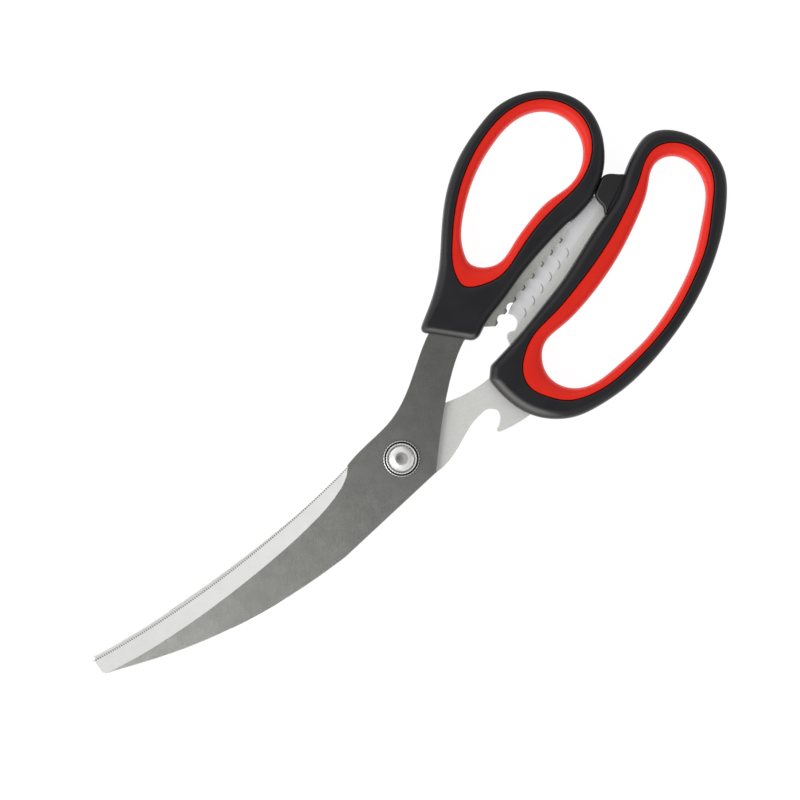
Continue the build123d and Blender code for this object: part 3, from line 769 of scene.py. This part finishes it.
def stop_buffer():
    """The soft block, sunk into its own handle's flank and just meeting the other handle."""
    low, high = (corner.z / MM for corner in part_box("stop_buffer"))
    wall = evened(section("stop_buffer", low + BUFFER_CUT)[0], AROUND // 2, LOOP_SOFTNESS)
    own, other = nearest(wall, "finger_handle"), nearest(wall, "thumb_handle")
    own_gap, other_gap = (np.linalg.norm(way, axis=1)[:, None] for way in (own, other))
    facing_plate = smoothstep(-outward(wall)[:, :1], *BUFFER_FACING)
    shift = np.array(BUFFER_INLAND) * np.clip(1 - own_gap / BUFFER_SINK_REACH, 0, 1)
    shift = shift + other * (1 - smoothstep(other_gap, *BUFFER_REACH))
    shift = shift + np.array(BUFFER_TO_PLATE) * facing_plate
    wall = wall + np.column_stack([softened(axis, BUFFER_BLUR) for axis in shift.T])
    wall = evened(wall, AROUND // 2, BUFFER_ROUND)
    from_tip = np.linalg.norm(wall - BUFFER_TIP, axis=1)[:, None] / BUFFER_TIP_REACH
    wall = wall + np.exp(-from_tip ** 2 / 2) * BUFFER_TIP_PUSH
    normal = outward(wall)
    rows = []
    for step in range(BUFFER_STEPS + 1):
        angle = math.pi / 2 * step / BUFFER_STEPS
        inset = BUFFER_ROUND * (1 - math.sin(angle))
        rise = BUFFER_ROUND * (1 - math.cos(angle))
        rows.append(level(wall - normal * inset, low + rise))
    rows += [row * (1, 1, -1) + (0, 0, low + high) for row in reversed(rows)]
    piece = plug("stop_buffer_moulding", rows)
    # A painted highlight along the top rounding's edge that faces the plate, carried by the nose
    # attribute.
    painted_highlight = np.zeros((len(rows), len(wall)))
    painted_highlight[-2] = smoothstep(-normal[:, 0], *BUFFER_HIGHLIGHT_FACING)
    nose = piece.data.attributes.new("nose", "FLOAT", "POINT")
    nose.data.foreach_set("value", painted_highlight.ravel().astype(np.float32))
    placed(piece, "rear_half", "stop_buffer", MATERIALS["black_rubber"])


def at_thin_wall(edge):
    """Whether an edge bounds a blade's upright wall that is too low for a round on both its sides."""
    for face in edge.link_faces:
        heights = [vert.co.z for vert in face.verts]
        upright = abs(face.normal.z) < BEVEL_TILT[0] and face.calc_center_median().x < BLADE_HEEL_X * MM
        if upright and max(heights) - min(heights) < THIN_WALL * MM:
            return True
    return False


def blade(node, body, slot, keep_crisp):
    """A blade whose stamped edges are eased by a small round, apart from those that keep_crisp picks."""
    bm = bmesh.new()
    bm.from_mesh(frame["nodes"][node].data)
    bmesh.ops.remove_doubles(bm, verts=bm.verts, dist=2 * WELD * MM)
    bmesh.ops.dissolve_limit(bm, angle_limit=math.radians(FLAT_JOIN), verts=bm.verts, edges=bm.edges)
    limit = math.radians(SHARP_EDGE)
    ground = bm.faces.layers.float.new("ground")
    stamped = [e for e in bm.edges
               if e.calc_face_angle(0) > limit and not keep_crisp(e) and not at_thin_wall(e)]
    bmesh.ops.bevel(bm, geom=stamped, offset=EDGE_ROUND * MM, segments=2, profile=0.5, affect="EDGES",
                    clamp_overlap=False)
    bmesh.ops.dissolve_degenerate(bm, dist=SMALLEST_EDGE * MM, edges=bm.edges)
    bm.normal_update()
    for face in bm.faces:
        at_blade = face.calc_center_median().x < BLADE_HEEL_X * MM
        face.smooth = True
        face[ground] = float(at_blade and BEVEL_TILT[0] < abs(face.normal.z) < BEVEL_TILT[1])
    for edge in bm.edges:
        angle = edge.calc_face_angle(0)
        level_faces = all(abs(face.normal.z) > BEVEL_TILT[0] for face in edge.link_faces)
        at_blade = edge.verts[0].co.x < BLADE_HEEL_X * MM
        shoulder = level_faces and at_blade and angle > math.radians(SHOULDER_EDGE)
        edge.smooth = not (shoulder or angle > limit)
    mesh = bpy.data.meshes.new(node + "_ground")
    bm.to_mesh(mesh)
    bm.free()
    piece = bpy.data.objects.new(mesh.name, mesh)
    bpy.context.scene.collection.objects.link(piece)
    normals = piece.modifiers.new("face_normals", "WEIGHTED_NORMAL")
    normals.keep_sharp = True
    placed(piece, body, node, MATERIALS[slot])


# ---------------------------------------------------------------- pivot

def turned(name, profile, open_ring):
    """A lathe-turned piece from steps of radius, height, knurl depth and half width across flats."""
    points = np.arange(KNURL_POINTS * KNURL_TEETH)
    angles = 2 * math.pi * points / len(points)
    tooth = np.abs(points % KNURL_POINTS - KNURL_POINTS / 2) / (KNURL_POINTS / 2)
    rows = []
    for radius, height, knurl, flats in profile:
        reach = np.full(len(angles), float(radius)) - knurl * tooth
        if flats:
            reach = np.minimum(reach, flats / np.maximum(np.abs(np.sin(angles)), 1e-6))
        rows.append(level(np.column_stack([reach * np.cos(angles), reach * np.sin(angles)]), height))
    return tube(name, rows) if open_ring else plug(name, rows)


def pivot_nut():
    """Knurled flange, a fine groove inside it, and a closed dome that hides the screw's end."""
    low, high = (corner.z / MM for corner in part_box("pivot_nut"))
    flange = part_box("pivot_nut")[1].x / MM
    profile = [(AXIS_R, low + 0.02, 0, 0), (flange - 0.3, low + 0.02, 0, 0),
               (flange, low + 0.12, KNURL_DEPTH, 0), (flange, low + 0.30, KNURL_DEPTH, 0),
               (flange - 0.08, low + 0.38, 0.16, 0), (flange - 0.36, low + 0.52, 0, 0),
               (DOME_R + 0.18, low + 0.48, 0, 0), (DOME_R, low + DOME_FOOT, 0, 0)]
    for step in range(1, DOME_STEPS + 1):
        share = 1 - step / (DOME_STEPS + 1)
        dimple = DIMPLE_DEPTH * (1 - smoothstep(DOME_R * share, 0.2 * DIMPLE_R, DIMPLE_R))
        fall = (high - low - DOME_FOOT) * share ** DOME_POWER
        profile.append((DOME_R * share, high - fall - dimple, 0, 0))
    profile.append((AXIS_R, high - DIMPLE_DEPTH, 0, 0))
    piece = turned("pivot_nut_dome", profile, open_ring=False)
    placed(piece, "rear_half", "pivot_nut", MATERIALS["nut_steel"])


def pivot_screw():
    """Flat head at the back, keyed neck, journal, and a threaded end inside the nut."""
    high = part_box("pivot_screw")[1].z / MM
    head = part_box("pivot_screw")[1].x / MM
    profile = [(AXIS_R, 0, 0, 0), (head - 0.55, 0, 0, 0), (head - 0.3, 0.06, 0, 0),
               (head - 0.08, 0.25, 0, 0), (head, 0.55, 0, 0),
               (head, HEAD_TOP - 0.25, 0, 0), (head - 0.2, HEAD_TOP - 0.02, 0, 0),
               (NECK_R + 0.05, HEAD_TOP, 0, 0), (NECK_R, HEAD_TOP, 0, NECK_HALF_FLATS),
               (NECK_R, NECK_TOP, 0, NECK_HALF_FLATS), (JOURNAL_R, NECK_TOP, 0, 0),
               (JOURNAL_R, JOURNAL_TOP, 0, 0), (THREAD_R, JOURNAL_TOP, 0, 0),
               (THREAD_R, high - THREAD_CHAMFER, 0, 0), (THREAD_R - THREAD_CHAMFER, high, 0, 0),
               (AXIS_R, high, 0, 0)]
    piece = turned("pivot_screw_turned", profile, open_ring=False)
    placed(piece, "rear_half", "pivot_screw", MATERIALS["pivot_steel"])


def lock_washer():
    """Knurled rim round a sunk face, darkened by painted shade in its finish."""
    low, high = (corner.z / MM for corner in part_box("lock_washer"))
    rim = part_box("lock_washer")[1].x / MM
    profile = [(WASHER_BORE_R, low, 0, 0), (rim - 0.3, low, 0, 0), (rim, low + 0.14, KNURL_DEPTH, 0),
               (rim, high - 0.26, KNURL_DEPTH, 0), (rim - 0.08, high - 0.17, 0.2, 0),
               (rim - 0.38, high - 0.03, 0.05, 0), (rim - 0.46, high, 0, 0),
               (WASHER_SINK_R, high - WASHER_SINK, 0, 0), (WASHER_BORE_R, high - WASHER_SINK, 0, 0)]
    piece = turned("lock_washer_knurled", profile, open_ring=True)
    placed(piece, "rear_half", "lock_washer", MATERIALS["knurled_steel"])


def toothed(edge):
    """Edges of the front blade's serrations, and of its teeth between the handles."""
    (x, y), (far_x, far_y), _ = FRONT_TOOTH_ROW
    middle = (edge.verts[0].co + edge.verts[1].co) / 2 / MM
    above = middle.y - y - (middle.x - x) * (far_y - y) / (far_x - x)
    on_teeth = x - TOOTH_WIDTH / 2 < middle.x < far_x + TOOTH_WIDTH / 2 and abs(above) < TOOTH_WIDTH
    return on_teeth or (edge.calc_length() < SERRATION_EDGE * MM and middle.x < BLADE_HEEL_X)


def meets(edge, corner):
    """Whether an edge has an end within a corner, given as its lowest and highest x and y."""
    (low_x, high_x), (low_y, high_y) = corner
    return any(low_x < v.co.x / MM < high_x and low_y < v.co.y / MM < high_y for v in edge.verts)


def under_tip(edge):
    """Underside edges at the front blade's thin end, where a round on both sides would not fit."""
    return all(v.co.x / MM < TIP_THIN_X and v.co.z / MM < FRONT_UNDERSIDE for v in edge.verts)


def crisp_on_front(edge):
    return toothed(edge) or meets(edge, FRONT_HEEL) or under_tip(edge)


def crisp_on_rear(edge):
    return meets(edge, REAR_HEEL) or meets(edge, REAR_TIP)


handle("thumb_handle", "front_half", nose_facing=(-0.755, -0.656), nose_limit=46, nose_width=1.9,
       nose_drop=2.2, lip=HANDLE_LIP)
handle("finger_handle", "rear_half", nose_facing=(-1, -0.25), nose_limit=60, nose_width=2.6,
       nose_drop=2.4)
liner("thumb_liner", "front_half")
liner("finger_liner", "rear_half")
stop_buffer()
blade("front_blade", "front_half", "ground_steel", crisp_on_front)
blade("rear_blade", "rear_half", "satin_steel", crisp_on_rear)
pivot_screw()
lock_washer()
pivot_nut()

for part in frame["record"]["subparts"]:
    node = frame["nodes"][part["node"]]
    if not node.hide_render:
        node.data.materials[0] = MATERIALS[part["material_slot"]]


# ---------------------------------------------------------------- stage

def floor():
    """A plain pale floor just under the object, lit so evenly that shadows on it stay faint."""
    half = FLOOR_SIZE / 2 / MM
    corners = [(-half, -half), (half, -half), (half, half), (-half, half)]
    piece = shaded("floor", [(x, y, -FLOOR_DROP / MM) for x, y in corners], [(0, 1, 2, 3)])
    g = Graph("floor_white")
    g.set(Base_Color=g.blend(g.noise(40), *FLOOR_TONES), Roughness=0.9,
          Specular_IOR_Level=0.0, Emission_Color=(1, 1, 1, 1), Emission_Strength=FLOOR_GLOW)
    piece.data.materials.append(g.material)


def studio():
    """Soft surround: brightest on the side that the light comes from, dim straight overhead."""
    world = bpy.data.worlds.new("studio")
    bpy.context.scene.world = world
    world.use_nodes = True
    sky = Nodes(world.node_tree)
    background = world.node_tree.nodes["Background"]

    def eased(value, low, high, start, end):
        return sky.node("ShaderNodeMapRange", {"Value": value, "From Min": low, "From Max": high,
                                               "To Min": start, "To Max": end},
                        interpolation_type="SMOOTHERSTEP")

    place = sky.node("ShaderNodeTexCoord", {}, output="Generated")
    toward = sky.node("ShaderNodeVectorMath", {0: place, 1: SKY_TOWARD}, output=1, operation="DOT_PRODUCT")
    height = sky.node("ShaderNodeSeparateXYZ", {0: place}, output="Z")
    side = eased(toward, *SKY_SIDE, SKY_FAR, SKY_NEAR)
    overhead = eased(height, *SKY_OVERHEAD, 0.0, SKY_NEAR)
    dimmed = sky.node("ShaderNodeMath", {0: side, 1: overhead}, operation="SUBTRACT")
    strength = sky.node("ShaderNodeMath", {0: dimmed, 1: SKY_ZENITH}, operation="MAXIMUM")
    sky.feed(background.inputs["Strength"], strength)
    sky.feed(background.inputs["Color"], (1, 1, 1, 1))


def softbox(name, place, size, power):
    """A large soft light aimed at the object."""
    light = bpy.data.lights.new(name, "AREA")
    light.shape = "DISK"
    light.size = size
    light.energy = power
    lamp = bpy.data.objects.new(name, light)
    bpy.context.scene.collection.objects.link(lamp)
    lamp.location = place
    aim = lamp.location.copy()
    for axis in range(3):
        aim[axis] -= LIGHT_TARGET[axis]
    lamp.rotation_euler = aim.to_track_quat("Z", "Y").to_euler()


def camera():
    """Straight down, turned so that the blades point to the lower left."""
    lens = bpy.data.cameras.new("camera")
    lens.sensor_width = SENSOR
    lens.lens = SENSOR * CAMERA_HEIGHT / VIEW_WIDTH
    lens.clip_end = 50
    eye = bpy.data.objects.new("camera", lens)
    bpy.context.scene.collection.objects.link(eye)
    eye.location = (*VIEW_CENTRE, CAMERA_HEIGHT + MID_Z * MM)
    eye.rotation_euler = (0, 0, VIEW_TURN)
    bpy.context.scene.camera = eye


floor()
studio()
softbox("key", KEY_PLACE, KEY_SIZE, KEY_POWER)
camera()
bpy.context.scene.view_settings.view_transform = "Standard"
